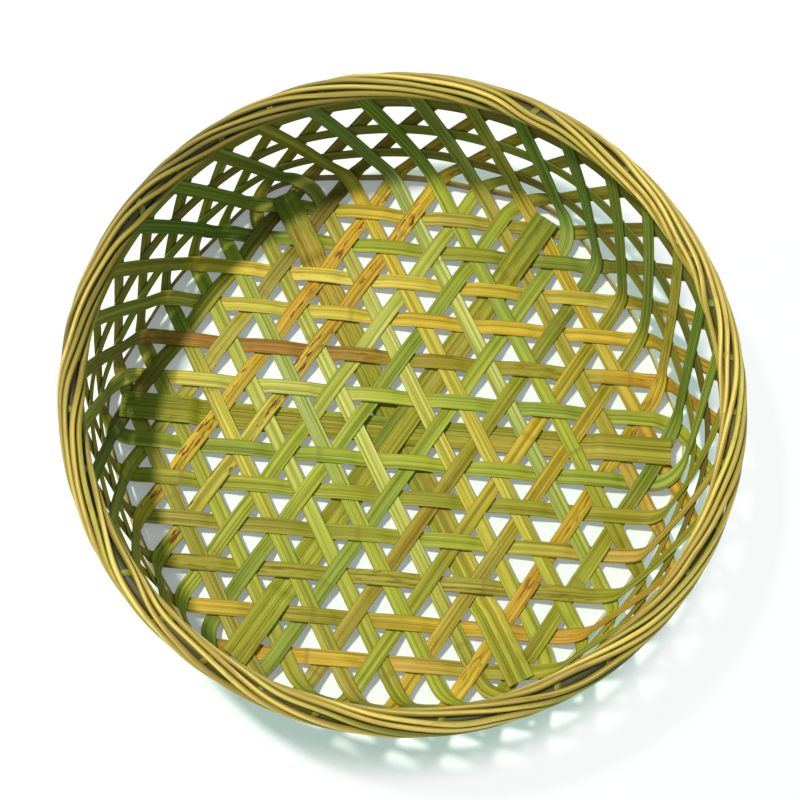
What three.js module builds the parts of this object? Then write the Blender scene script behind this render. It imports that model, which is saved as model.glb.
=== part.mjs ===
// A round, open-weave bamboo basket, woven from three families of flat strips.
// The strips cross the base at sixty degrees to each other, bend up together at
// the corner and lean up the wall to the rim. Millimetres, +Z up, the floor at zero.
import * as THREE from 'three';

// Flat strips
const stripWidth = 7.4;
const stripThickness = 0.6;
const layGap = 0.35; // clearance between strips that lie on each other
const seatGap = 0.3; // clearance where one piece rests on another

// Weave of the base
const stripsEachSide = 6; // of the middle splint, in each family
const middleOffset = 16.5; // from the centre to the first strip on each side
const stripPitch = 19;
const bendMargin = 0.3; // how far past a crossing a strip stays level

// Hand work is never quite even: how far each strip has slid, as a share of the
// pitch, from the first strip of the family to the last.
const slideShares = {
  across: [0.02, -0.05, -0.1, -0.1, -0.02, 0.02, -0.03, -0.12, -0.1, -0.03, 0.03, 0.03],
  left: [0.04, -0.07, -0.01, -0.01, -0.02, -0.05, -0.02, -0.04, 0.02, 0.01, 0.02, -0.06],
  right: [-0.09, -0.1, -0.12, -0.11, -0.1, -0.11, -0.07, -0.04, -0.02, -0.04, 0.1, 0.05],
};

// Bowl, along the middle of the woven sheet
const matHeight = 6.2;
const flatRadius = 124;
const cornerRadius = 10.5;
const wallFlare = THREE.MathUtils.degToRad(8);
const wallTopHeight = 77;

// Spread of the strip ends on the wall
const wallLean = THREE.MathUtils.degToRad(31); // from upright, along the wall
const spreadLength = 26; // from the base's edge to where the ends stand evenly
const keptPlace = 4; // the ends of these strips stay where their own line leads
const weaveSwitchInset = 2.5; // crossings nearer the corner follow the wall's weave

// Stiffening splints: a wide one and a narrow one side by side in each family
const splintWidth = 8.6;
const splintMateWidth = 4.2;
const splintThickness = 1;
const splintSplit = 0.5; // between the wide splint and its mate
const splintTip = 3.5; // of the cut end, past the edge of the flat base
const splintTipRise = 1.1; // of the stiff end, which doesn't follow the corner
const stripsBeforeTuck = 4; // that a splint passes under before it comes up
const splintStackMargin = 2; // past the part where all three cross
const splintStackRise = 16; // length of the rise from the stack to the mat

// Weavers that run round the wall
const weaverWidth = 7;
const lowerWeaverHeight = 29;
const upperWeaverHeight = 49;
const rimWeaverWidth = 9;
const rimWeaverDrop = 1; // below the cut ends of the strips

// Rim: round splits laid like a rope round a core
const rimStrands = 9;
const rimStrandDiameter = 2.4;
const rimLayRadius = 4.8; // from the rim's middle to the middle of a strand
const rimTurns = 4; // whole turns of the lay round the basket
const rimCoreClearance = 0.4;

// Foot hoop: a thin lath that leans out towards the floor
const hoopSplay = THREE.MathUtils.degToRad(14);
const hoopSeatAngle = THREE.MathUtils.degToRad(52); // round the corner, from the base
const hoopSeatHalf = 0.9; // half length of the cut edge that the corner rests on

// How finely round forms are drawn
const cornerSteps = 4;
const wallSteps = 4;
const roundSteps = 60;
const strandSteps = 48;
const strandSides = 5;
const coreSides = 6;

// The woven sheet is a surface of revolution. Every place on it is an azimuth and
// a distance from the centre of the base, measured along the sheet.
const cornerTurn = Math.PI / 2 - wallFlare;
const cornerEnd = flatRadius + cornerRadius * cornerTurn;
const wallFootRadius = flatRadius + cornerRadius * Math.sin(cornerTurn);
const wallFootHeight = matHeight + cornerRadius * (1 - Math.cos(cornerTurn));
const wallLength = (wallTopHeight - wallFootHeight) / Math.cos(wallFlare);
const sheetEnd = cornerEnd + wallLength;

function sheetProfile(distance) {
  if (distance <= flatRadius) {
    return { radius: distance, height: matHeight, tilt: 0 };
  }
  if (distance <= cornerEnd) {
    const tilt = (distance - flatRadius) / cornerRadius;
    const radius = flatRadius + cornerRadius * Math.sin(tilt);
    const height = matHeight + cornerRadius * (1 - Math.cos(tilt));
    return { radius, height, tilt };
  }
  const up = distance - cornerEnd;
  const radius = wallFootRadius + up * Math.sin(wallFlare);
  const height = wallFootHeight + up * Math.cos(wallFlare);
  return { radius, height, tilt: cornerTurn };
}

// A point that lies off the sheet by a lift, positive towards the inside.
function sheetPoint(distance, azimuth, lift) {
  const { radius, height, tilt } = sheetProfile(distance);
  const r = radius - lift * Math.sin(tilt);
  return new THREE.Vector3(
    r * Math.cos(azimuth),
    r * Math.sin(azimuth),
    height + lift * Math.cos(tilt),
  );
}

function sheetDistanceAt(height) {
  return cornerEnd + (height - wallFootHeight) / Math.cos(wallFlare);
}

// On the flat base a strip runs straight, and passes the centre at its own miss
// distance. From the base's edge it is coaxed out of the straightest line, so that
// the ends of all strips stand evenly round the wall and lean alike. Its course is
// stored by the distance from the centre, for the half that turns anticlockwise.
const courseSteps = 300;
const endSpacing = Math.PI / (3 * stripsEachSide); // between ends that lean alike
const keptMiss = middleOffset + (keptPlace - 1) * stripPitch;
const keptTurn = Math.acos(keptMiss / flatRadius);

function traceCourse(miss, place) {
  const flatLength = Math.sqrt(flatRadius ** 2 - miss ** 2);
  const ownTurn = Math.atan2(flatLength, miss);
  const course = { miss, flatLength, distance: [flatRadius], length: [flatLength] };
  course.azimuth = [ownTurn];
  course.lean = [Math.asin(miss / flatRadius)];
  let straight = ownTurn;
  let even = keptTurn + (keptPlace - place) * endSpacing;
  const step = (sheetEnd - flatRadius) / courseSteps;
  for (let i = 0; i < courseSteps; i += 1) {
    const distance = flatRadius + (i + 1) * step;
    const { radius } = sheetProfile(distance - step / 2);
    straight += (step * miss) / (radius * Math.sqrt(radius ** 2 - miss ** 2));
    even += (step * Math.tan(wallLean)) / radius;
    const spread = THREE.MathUtils.smoothstep(distance, flatRadius, flatRadius + spreadLength);
    const azimuth = place > 0 ? THREE.MathUtils.lerp(straight, even, spread) : straight;
    const around = radius * (azimuth - course.azimuth[i]);
    course.distance.push(distance);
    course.length.push(course.length[i] + Math.hypot(step, around));
    course.azimuth.push(azimuth);
    course.lean.push(Math.atan2(around, step));
  }
  return course;
}

function lookUp(keys, values, key) {
  let low = 0;
  let high = keys.length - 1;
  while (high - low > 1) {
    const middle = (low + high) >> 1;
    if (keys[middle] <= key) {
      low = middle;
    } else {
      high = middle;
    }
  }
  const share = (key - keys[low]) / (keys[high] - keys[low]);
  return values[low] + share * (values[high] - values[low]);
}

// Place on the course at a signed length from the point nearest the centre.
function placeAt(strip, length) {
  const { course } = strip;
  const side = Math.sign(length) || 1;
  const reach = Math.abs(length);
  let distance = Math.hypot(course.miss, reach);
  let turn = Math.atan2(reach, course.miss);
  if (reach > course.flatLength) {
    distance = lookUp(course.length, course.distance, reach);
    turn = lookUp(course.length, course.azimuth, reach);
  }
  return { distance, azimuth: strip.facing + side * turn };
}

function turnAt(course, distance) {
  if (distance <= flatRadius) {
    return Math.acos(Math.min(1, course.miss / distance));
  }
  return lookUp(course.distance, course.azimuth, distance);
}

function lengthAt(course, distance) {
  if (distance <= flatRadius) {
    return Math.sqrt(Math.max(0, distance ** 2 - course.miss ** 2));
  }
  return lookUp(course.distance, course.length, distance);
}

// Direction of travel, as an angle from the line that leads straight outward.
function leanAt(course, distance) {
  if (distance <= flatRadius) {
    return Math.asin(Math.min(1, course.miss / distance));
  }
  return lookUp(course.distance, course.lean, distance);
}

function headingAt(course, distance, side) {
  const lean = leanAt(course, distance);
  return side > 0 ? lean : Math.PI - lean;
}

// A point beside the course, at the same level on the sheet's surface.
function besideCourse(strip, length, sideways, lift) {
  const { distance, azimuth } = placeAt(strip, length);
  const heading = headingAt(strip.course, distance, Math.sign(length) || 1);
  const { radius } = sheetProfile(distance);
  const outward = radius - sideways * Math.sin(heading);
  const around = sideways * Math.cos(heading);
  const moved = Math.hypot(outward, around) - radius;
  return sheetPoint(distance + moved, azimuth + Math.atan2(around, outward), lift);
}

// The three families. Index zero is the splint in the middle of the family, and
// the strips count outward from it on both sides. Where all three splints cross,
// each one lies under as many others as named here.
const families = [
  { name: 'across', normal: THREE.MathUtils.degToRad(-90), splintsAbove: 1 },
  { name: 'left', normal: THREE.MathUtils.degToRad(30), splintsAbove: 2 },
  { name: 'right', normal: THREE.MathUtils.degToRad(-30), splintsAbove: 0 },
];

function evenOffset(index) {
  if (index === 0) {
    return 0;
  }
  return Math.sign(index) * (middleOffset + (Math.abs(index) - 1) * stripPitch);
}

function nearestIndex(offset) {
  const beyond = (Math.abs(offset) - middleOffset) / stripPitch;
  const count = Math.abs(offset) < middleOffset / 2 ? 0 : 1 + Math.max(0, Math.round(beyond));
  return Math.sign(offset) * count;
}

// Strips are numbered from one, without a gap for the splint.
function placeOf(index) {
  return index < 0 ? index + stripsEachSide + 1 : index + stripsEachSide;
}

function offsetOf(family, index) {
  if (index === 0 || Math.abs(index) > stripsEachSide) {
    return evenOffset(index);
  }
  return evenOffset(index) + slideShares[family][placeOf(index) - 1] * stripPitch;
}

function makeStrip(family, index) {
  const offset = offsetOf(family.name, index);
  const facing = family.normal + (offset < 0 ? Math.PI : 0);
  const course = traceCourse(Math.abs(offset), Math.abs(index));
  return { family, index, offset, facing, course };
}

// Weave of the base: the across and right families cross over and under by turns,
// and each left strip is threaded between them, over one and under the other.
// On the wall the ends that lean one way lie inside and the others outside, and
// the weavers run between them.
function isEven(number) {
  return number % 2 === 0;
}

// The three strips that meet near a crossing of two, as indices.
function groupOf(strip, other) {
  const group = { [strip.family.name]: strip.index, [other.family.name]: other.index };
  const even = (name) => evenOffset(group[name]);
  if (group.right === undefined) {
    group.right = nearestIndex(even('across') + even('left'));
  } else if (group.left === undefined) {
    group.left = nearestIndex(even('right') - even('across'));
  } else {
    group.across = nearestIndex(even('right') - even('left'));
  }
  return group;
}

// Distance from the centre to the middle of the small triangle of three strips.
function groupDistance(strip, other) {
  const group = groupOf(strip, other);
  const [across, left, right] = families.map(({ name }) => offsetOf(name, group[name]));
  const miss = (across + left - right) / 3;
  const [down, slant] = [across - miss, left - miss];
  return Math.hypot(down, (slant + down / 2) / Math.cos(Math.PI / 6));
}

function baseLayer(strip, other) {
  if (strip.family.name === 'left') {
    return 0;
  }
  const group = groupOf(strip, other);
  const acrossOnTop = isEven(group.across + group.right);
  return acrossOnTop === (strip.family.name === 'across') ? 1 : -1;
}

function wrapAngle(angle) {
  return Math.atan2(Math.sin(angle), Math.cos(angle));
}

// Crossings of two strips: both halves of each, out from the centre, are compared
// by azimuth at the same distance, and each change of sign is narrowed down.
const searchStep = 1.5;
const narrowingRounds = 30;

function findCrossings(strip, other) {
  const found = [];
  const start = Math.max(strip.course.miss, other.course.miss);
  for (const side of [1, -1]) {
    for (const otherSide of [1, -1]) {
      const gap = (distance) => wrapAngle(
        strip.facing + side * turnAt(strip.course, distance)
        - other.facing - otherSide * turnAt(other.course, distance),
      );
      let low = start;
      while (low < sheetEnd) {
        const high = Math.min(low + searchStep, sheetEnd);
        const changes = gap(low) !== 0 && gap(low) * gap(high) <= 0;
        if (changes && Math.abs(gap(low)) < Math.PI / 2) {
          found.push({ distance: narrow(gap, low, high), side, otherSide });
        }
        low = high;
      }
    }
  }
  return found;
}

function narrow(gap, from, to) {
  let low = from;
  let high = to;
  for (let i = 0; i < narrowingRounds; i += 1) {
    const middle = (low + high) / 2;
    if (gap(low) * gap(middle) <= 0) {
      high = middle;
    } else {
      low = middle;
    }
  }
  return (low + high) / 2;
}

// Crossings up the wall follow its own rule, and so do the outermost groups of the
// base, because a group of three strips can't take both.
function onWall(strip, other, distance) {
  const outermostGroup = groupDistance(strip, other) > flatRadius - weaveSwitchInset;
  return outermostGroup || distance > flatRadius + cornerRadius;
}

function makeCrossing(strip, side, distance, layer, heading, width) {
  const turn = heading - headingAt(strip.course, distance, side);
  return {
    length: side * lengthAt(strip.course, distance),
    layer,
    slant: stripWidth / 2 / Math.tan(turn),
    half: width / 2 / Math.abs(Math.sin(turn)) + bendMargin,
  };
}

// All crossings of one strip in order, with the layer it takes there and the
// stretch of its two edges that the other piece covers.
function listCrossings(strip, strips) {
  const list = [];
  for (const other of strips) {
    if (other.family !== strip.family) {
      for (const { distance, side, otherSide } of findCrossings(strip, other)) {
        const layer = onWall(strip, other, distance) ? side : baseLayer(strip, other);
        const heading = headingAt(other.course, distance, otherSide);
        list.push(makeCrossing(strip, side, distance, layer, heading, stripWidth));
      }
    }
  }
  const weaver = sheetDistanceAt(lowerWeaverHeight);
  for (const side of [-1, 1]) {
    list.push(makeCrossing(strip, side, weaver, side, Math.PI / 2, weaverWidth));
  }
  return list.sort((a, b) => a.length - b.length);
}

// A strip is drawn through sections. Each has a place on the left edge, a place
// on the right edge and a lift off the sheet, so that the strip bends along the
// edges of the strips that it crosses.
const layerStep = stripThickness + layGap;

function cutEnd(strip, side) {
  const { course } = strip;
  const length = side * lengthAt(course, sheetEnd);
  const slant = side * (stripWidth / 2) * Math.tan(leanAt(course, sheetEnd));
  return { left: length + slant, right: length - slant, lift: side * layerStep };
}

// Neighbouring crossings in the same layer make one level stretch.
function levelStretches(crossings) {
  const stretches = [];
  for (const { length, layer, slant, half } of crossings) {
    const from = { left: length + slant - half, right: length - slant - half };
    const to = { left: length + slant + half, right: length - slant + half };
    const last = stretches[stretches.length - 1];
    if (last && last.layer === layer) {
      last.to.left = Math.max(last.to.left, to.left);
      last.to.right = Math.max(last.to.right, to.right);
      last.from.left = Math.min(last.from.left, from.left);
      last.from.right = Math.min(last.from.right, from.right);
    } else {
      stretches.push({ layer, from, to });
    }
  }
  return stretches;
}

// Where two level stretches nearly meet, both give way, so that the rise between
// them isn't too steep for a split of bamboo.
const leastRise = 1.8;

function easeRise(before, after, edge) {
  const missing = leastRise - (after.from[edge] - before.to[edge]);
  if (missing > 0) {
    before.to[edge] -= missing / 2;
    after.from[edge] += missing / 2;
  }
}

function weaveSections(strip, strips) {
  const stretches = levelStretches(listCrossings(strip, strips));
  for (let i = 1; i < stretches.length; i += 1) {
    easeRise(stretches[i - 1], stretches[i], 'left');
    easeRise(stretches[i - 1], stretches[i], 'right');
  }
  const sections = [cutEnd(strip, -1)];
  for (let i = 1; i < stretches.length; i += 1) {
    const [before, after] = [stretches[i - 1], stretches[i]];
    sections.push({ ...before.to, lift: before.layer * layerStep });
    sections.push({ ...after.from, lift: after.layer * layerStep });
  }
  sections.push(cutEnd(strip, 1));
  return sections;
}

// Extra sections carry a strip round the corner and up the wall.
function blend(before, after, length) {
  const [from, to] = [before, after].map((section) => (section.left + section.right) / 2);
  const share = (length - from) / (to - from);
  const mix = (name) => before[name] + share * (after[name] - before[name]);
  return { left: mix('left'), right: mix('right'), lift: mix('lift') };
}

function bendDistances() {
  const distances = [flatRadius - stripWidth / 2, flatRadius - stripWidth / 4];
  for (let i = 0; i <= cornerSteps; i += 1) {
    distances.push(flatRadius + (cornerEnd - flatRadius) * (i / cornerSteps));
  }
  for (let i = 1; i < wallSteps; i += 1) {
    distances.push(cornerEnd + wallLength * (i / wallSteps));
  }
  return distances;
}

const leastSpacing = 0.8; // between an extra section and its neighbours

function addBends(strip, sections) {
  const lengths = [];
  for (const distance of bendDistances()) {
    const length = lengthAt(strip.course, distance);
    lengths.push(length, -length);
  }
  lengths.sort((a, b) => a - b);
  const result = [sections[0]];
  for (let i = 1; i < sections.length; i += 1) {
    const [before, after] = [sections[i - 1], sections[i]];
    const [from, to] = [before, after].map((section) => (section.left + section.right) / 2);
    for (const length of lengths) {
      if (length > from + leastSpacing && length < to - leastSpacing) {
        result.push(blend(before, after, length));
      }
    }
    result.push(after);
  }
  return result;
}

// Joins a row of closed sections, each a loop of points, into one solid. A face
// between two sections is split along one diagonal, or along the other one where
// it is turned.
function loftSolid(loops, closed, isTurned = () => false) {
  const sides = loops[0].length;
  const positions = loops.flat().flatMap((point) => [point.x, point.y, point.z]);
  const indices = [];
  const spans = closed ? loops.length : loops.length - 1;
  for (let i = 0; i < spans; i += 1) {
    const here = i * sides;
    const there = ((i + 1) % loops.length) * sides;
    for (let j = 0; j < sides; j += 1) {
      const next = (j + 1) % sides;
      if (isTurned(i, j)) {
        indices.push(here + j, here + next, there + j);
        indices.push(here + next, there + next, there + j);
      } else {
        indices.push(here + j, here + next, there + next);
        indices.push(here + j, there + next, there + j);
      }
    }
  }
  if (!closed) {
    const last = (loops.length - 1) * sides;
    for (let j = 1; j < sides - 1; j += 1) {
      indices.push(0, j + 1, j);
      indices.push(last, last + j, last + j + 1);
    }
  }
  const geometry = new THREE.BufferGeometry();
  geometry.setAttribute('position', new THREE.Float32BufferAttribute(positions, 3));
  geometry.setIndex(indices);
  geometry.computeVertexNormals();
  return geometry;
}

// Loop of a flat strip, seen against its direction of travel.
function stripLoop(strip, section, width, thickness) {
  const [low, high] = [section.lift - thickness / 2, section.lift + thickness / 2];
  return [
    besideCourse(strip, section.left, width / 2, low),
    besideCourse(strip, section.left, width / 2, high),
    besideCourse(strip, section.right, -width / 2, high),
    besideCourse(strip, section.right, -width / 2, low),
  ];
}

// In the corner a strip twists, so its flat faces aren't quite plane there. Both
// are split along the same diagonal, which keeps the strip equally thick, and along
// the one whose middle lies nearer to the sheet.
const [bottomFace, topFace] = [3, 1]; // sides of the loop above

function leadsFromLeft(strip, before, after) {
  const middle = blend(before, after, (before.left + before.right + after.left + after.right) / 4);
  const wanted = besideCourse(strip, (middle.left + middle.right) / 2, 0, middle.lift);
  const missOf = (left, right) => {
    const from = besideCourse(strip, left.left, stripWidth / 2, left.lift);
    const to = besideCourse(strip, right.right, -stripWidth / 2, right.lift);
    return from.add(to).divideScalar(2).distanceTo(wanted);
  };
  return missOf(before, after) <= missOf(after, before);
}

function stripSolid(strip, strips) {
  const sections = addBends(strip, weaveSections(strip, strips));
  const loops = sections.map((section) => stripLoop(strip, section, stripWidth, stripThickness));
  const isTurned = (i, j) => {
    if (j !== bottomFace && j !== topFace) {
      return false;
    }
    return leadsFromLeft(strip, sections[i], sections[i + 1]) === (j === bottomFace);
  };
  return loftSolid(loops, false, isTurned);
}

// A splint runs under the mat, dips in the middle where the three cross, and comes
// up through the weave to lie over the last strips. It comes up in the free gap
// between the crossings with one strip and the next of both other families.
const splintPairWidth = splintWidth + splintSplit + splintMateWidth;
const familyAngle = Math.PI / 3;

function splintTuck(family, side) {
  const half = stripWidth / 2 / Math.sin(familyAngle) + splintPairWidth / 2 / Math.tan(familyAngle);
  const past = [];
  const before = [];
  for (const other of families) {
    if (other !== family) {
      const slope = Math.sin(other.normal - family.normal);
      const way = Math.sign(side * slope);
      past.push(offsetOf(other.name, way * stripsBeforeTuck) / slope);
      before.push(offsetOf(other.name, way * (stripsBeforeTuck + 1)) / slope);
    }
  }
  const from = Math.max(...past.map(Math.abs)) + half;
  const to = Math.min(...before.map(Math.abs)) - half;
  return { from, to };
}

function splintHalf(family, side) {
  const onMat = stripThickness / 2 + splintThickness / 2 + seatGap;
  const under = -layerStep - onMat;
  const over = layerStep + onMat;
  const stacked = under - family.splintsAbove * (splintThickness + seatGap);
  const cross = splintPairWidth / 2 / Math.sin(familyAngle);
  const stackHalf = cross + splintPairWidth / 2 / Math.tan(familyAngle) + splintStackMargin;
  const tuck = splintTuck(family, side);
  const steps = [
    [stackHalf, stacked],
    [stackHalf + splintStackRise, under],
    [tuck.from, under],
    [tuck.to, over],
    [flatRadius, over + splintTipRise / 3],
    [flatRadius + splintTip, over + splintTipRise],
  ];
  return steps.map(([reach, lift]) => ({ left: side * reach, right: side * reach, lift }));
}

function splintSolid(family, offset, width) {
  const facing = family.normal + (offset < 0 ? Math.PI : 0);
  const splint = { facing, course: traceCourse(Math.abs(offset), 0) };
  const turned = offset < 0 ? -1 : 1;
  const sections = [
    ...splintHalf(family, -turned).map((section) => flip(section, turned)).reverse(),
    ...splintHalf(family, turned).map((section) => flip(section, turned)),
  ];
  const loops = sections.map((section) => stripLoop(splint, section, width, splintThickness));
  return loftSolid(loops, false);
}

// A strip that faces the other way counts its length the other way.
function flip(section, turned) {
  return { left: turned * section.left, right: turned * section.right, lift: section.lift };
}

// A band round the wall, between the inner and the outer ends of the strips.
function weaverSolid(middleHeight, width) {
  const middle = sheetDistanceAt(middleHeight);
  const corners = [[-1, -1], [-1, 1], [1, 1], [1, -1], [-1, -1]];
  const outline = corners.map(([along, out]) => {
    const { radius, height, tilt } = sheetProfile(middle + (along * width) / 2);
    const lift = (-out * stripThickness) / 2;
    return new THREE.Vector2(radius - lift * Math.sin(tilt), height + lift * Math.cos(tilt));
  });
  return ringSolid(outline, roundSteps);
}

// Turns a closed outline of radius and height round the vertical axis.
function ringSolid(outline, steps) {
  const geometry = new THREE.LatheGeometry(outline, steps);
  geometry.rotateX(Math.PI / 2);
  return geometry;
}

const rimRadius = rimLayRadius + rimStrandDiameter / 2;
const rimHeight = wallTopHeight + seatGap + layerStep * Math.sin(wallFlare) + rimRadius;
const rimMiddleRadius = sheetProfile(sheetDistanceAt(rimHeight)).radius;

function rimStrandSolid(number) {
  const middleAt = (turn) => {
    const lay = (number / rimStrands) * 2 * Math.PI - rimTurns * turn;
    const radius = rimMiddleRadius + rimLayRadius * Math.cos(lay);
    return new THREE.Vector3(
      radius * Math.cos(turn),
      radius * Math.sin(turn),
      rimHeight + rimLayRadius * Math.sin(lay),
    );
  };
  const loops = [];
  const nudge = 0.001;
  for (let i = 0; i < strandSteps; i += 1) {
    const turn = (i / strandSteps) * 2 * Math.PI;
    const middle = middleAt(turn);
    const travel = middleAt(turn + nudge).sub(middleAt(turn - nudge)).normalize();
    const heart = new THREE.Vector3(Math.cos(turn), Math.sin(turn), 0);
    heart.multiplyScalar(rimMiddleRadius).setZ(rimHeight);
    const outward = middle.clone().sub(heart).normalize();
    const sideways = new THREE.Vector3().crossVectors(travel, outward).normalize();
    const loop = [];
    for (let j = 0; j < strandSides; j += 1) {
      const angle = (j / strandSides) * 2 * Math.PI;
      const point = middle.clone();
      point.addScaledVector(outward, (rimStrandDiameter / 2) * Math.cos(angle));
      point.addScaledVector(sideways, (rimStrandDiameter / 2) * Math.sin(angle));
      loop.push(point);
    }
    loops.push(loop);
  }
  return loftSolid(loops, true);
}

function rimCoreSolid() {
  const coreRadius = rimLayRadius - rimStrandDiameter / 2 - rimCoreClearance;
  const outline = [];
  for (let i = 0; i <= coreSides; i += 1) {
    const angle = ((i % coreSides) / coreSides) * 2 * Math.PI;
    const radius = rimMiddleRadius + coreRadius * Math.cos(angle);
    outline.push(new THREE.Vector2(radius, rimHeight + coreRadius * Math.sin(angle)));
  }
  return ringSolid(outline, strandSteps);
}

// The foot hoop stands on the floor. Its top edge is cut at a slant, square to the
// corner of the weave, which rests on the cut.
function footHoopSolid() {
  const cornerHeight = matHeight + cornerRadius;
  const outerLayer = layerStep + stripThickness / 2 + seatGap;
  const seat = cornerRadius + outerLayer;
  const seatRadius = flatRadius + seat * Math.sin(hoopSeatAngle);
  const seatHeight = cornerHeight - seat * Math.cos(hoopSeatAngle);
  const [runOut, rise] = [Math.cos(hoopSeatAngle), Math.sin(hoopSeatAngle)];
  const [inner, outer] = [-hoopSeatHalf, hoopSeatHalf].map(
    (reach) => new THREE.Vector2(seatRadius + reach * runOut, seatHeight + reach * rise),
  );
  const splay = Math.tan(hoopSplay);
  const outline = [
    new THREE.Vector2(inner.x + inner.y * splay, 0),
    new THREE.Vector2(outer.x + outer.y * splay, 0),
    outer,
    inner,
    new THREE.Vector2(inner.x + inner.y * splay, 0),
  ];
  return ringSolid(outline, roundSteps);
}

// Finishes
const finishes = {
  across: { color: 0xb3ab45, roughness: 0.6 },
  left: { color: 0xb9b65c, roughness: 0.6 },
  right: { color: 0xb5a23c, roughness: 0.6 },
  splint: { color: 0x98902c, roughness: 0.62 },
  weaver: { color: 0x6b7030, roughness: 0.65 },
  rim: { color: 0xc9b35c, roughness: 0.55 },
  core: { color: 0x6e6a35, roughness: 0.75 },
  hoop: { color: 0xcbb677, roughness: 0.6 },
};

const basket = new THREE.Group();

function addPiece(name, geometry, finish) {
  const material = new THREE.MeshStandardMaterial({ ...finishes[finish], metalness: 0 });
  const mesh = new THREE.Mesh(geometry, material);
  mesh.name = name;
  basket.add(mesh);
}

const strips = [];
for (const family of families) {
  for (let index = -stripsEachSide; index <= stripsEachSide; index += 1) {
    if (index !== 0) {
      strips.push(makeStrip(family, index));
    }
  }
}

for (const strip of strips) {
  const number = String(placeOf(strip.index)).padStart(2, '0');
  addPiece(`strip_${strip.family.name}_${number}`, stripSolid(strip, strips), strip.family.name);
}

const wideOffset = (splintPairWidth - splintWidth) / 2;
const mateOffset = (splintMateWidth - splintPairWidth) / 2;
for (const family of families) {
  addPiece(`splint_${family.name}`, splintSolid(family, wideOffset, splintWidth), 'splint');
  addPiece(`splint_${family.name}_mate`, splintSolid(family, mateOffset, splintMateWidth), 'splint');
}

addPiece('wall_weaver_lower', weaverSolid(lowerWeaverHeight, weaverWidth), 'weaver');
addPiece('wall_weaver_upper', weaverSolid(upperWeaverHeight, weaverWidth), 'weaver');
const rimWeaverHeight = wallTopHeight - rimWeaverDrop - (rimWeaverWidth / 2) * Math.cos(wallFlare);
addPiece('rim_weaver', weaverSolid(rimWeaverHeight, rimWeaverWidth), 'weaver');

for (let number = 0; number < rimStrands; number += 1) {
  addPiece(`rim_strand_${String(number + 1).padStart(2, '0')}`, rimStrandSolid(number), 'rim');
}
addPiece('rim_core', rimCoreSolid(), 'core');
addPiece('foot_hoop', footHoopSolid(), 'hoop');

export default basket;
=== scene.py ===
# %% [markdown]
# # A three-way woven bamboo basket
#
# This lesson dresses a packed basket model in Blender. The packed model gives the
# frame: every strip, splint, weaver, rim strand and hoop has its place there.
# Blender adds what the plain solids leave out: crowned splits with soft edges,
# smooth bends over and under each other, fibre lines, knots and the colours of
# half-dried bamboo. All lengths are in metres.

# %% Load the packed model
import math

import bpy
import numpy as np
from mathutils import Euler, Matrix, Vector


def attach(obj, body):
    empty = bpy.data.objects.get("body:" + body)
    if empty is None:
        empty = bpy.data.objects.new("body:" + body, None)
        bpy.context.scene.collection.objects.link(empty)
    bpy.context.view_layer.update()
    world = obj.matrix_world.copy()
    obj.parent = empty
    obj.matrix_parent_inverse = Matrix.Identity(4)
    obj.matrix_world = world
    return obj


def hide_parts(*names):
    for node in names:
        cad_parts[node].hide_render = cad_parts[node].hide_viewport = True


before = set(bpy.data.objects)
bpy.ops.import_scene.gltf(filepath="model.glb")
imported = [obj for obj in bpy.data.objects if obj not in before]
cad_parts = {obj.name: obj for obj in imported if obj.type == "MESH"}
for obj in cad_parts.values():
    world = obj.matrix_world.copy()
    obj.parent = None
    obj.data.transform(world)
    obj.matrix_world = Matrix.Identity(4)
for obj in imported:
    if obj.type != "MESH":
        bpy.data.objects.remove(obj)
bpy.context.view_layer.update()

print("nodes in the packed model:", len(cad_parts))

# %% [markdown]
# ## The sizes
#
# The basket is woven from one kind of strip, so a few sizes rule everything: the
# width and thickness of a strip, the pitch of the weave, and the shape of the bowl.
# They are the same sizes as in the solid model, because the dressed strips have to
# pass each other in the same places.

# %% Sizes of the weave and the bowl
mm = 0.001

strip_width = 7.4 * mm
strip_thickness = 0.6 * mm
lay_gap = 0.35 * mm
seat_gap = 0.3 * mm
layer_step = strip_thickness + lay_gap

strips_each_side = 6
middle_offset = 16.5 * mm
strip_pitch = 19 * mm
bend_margin = 0.3 * mm
least_rise = 1.8 * mm
slide_shares = {
    "across": [0.02, -0.05, -0.1, -0.1, -0.02, 0.02, -0.03, -0.12, -0.1, -0.03, 0.03, 0.03],
    "left": [0.04, -0.07, -0.01, -0.01, -0.02, -0.05, -0.02, -0.04, 0.02, 0.01, 0.02, -0.06],
    "right": [-0.09, -0.1, -0.12, -0.11, -0.1, -0.11, -0.07, -0.04, -0.02, -0.04, 0.1, 0.05],
}

mat_height = 6.2 * mm
flat_radius = 124 * mm
corner_radius = 10.5 * mm
wall_flare = math.radians(8)
wall_top_height = 77 * mm

wall_lean = math.radians(31)
spread_length = 26 * mm
kept_place = 4
weave_switch_inset = 2.5 * mm
print("strips of", strip_width / mm, "mm, laid every", strip_pitch / mm, "mm")

# %% [markdown]
# ## The woven sheet
#
# The weave is a thin sheet: a flat base, a tight corner and a leaning wall, turned
# round the middle of the basket. A place on it is an azimuth and a distance from
# the centre, measured along the sheet. A strip never leaves this sheet by more than
# one layer, so it can be drawn as a line on the sheet plus a small lift.
#
# The solid model has a round corner. On the real basket the six splint ends press it
# out, so that the base is a soft hexagon. The push is a shape of the picture only: it
# moves the corner by a few millimetres, and everything that lies on the sheet with it.

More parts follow.
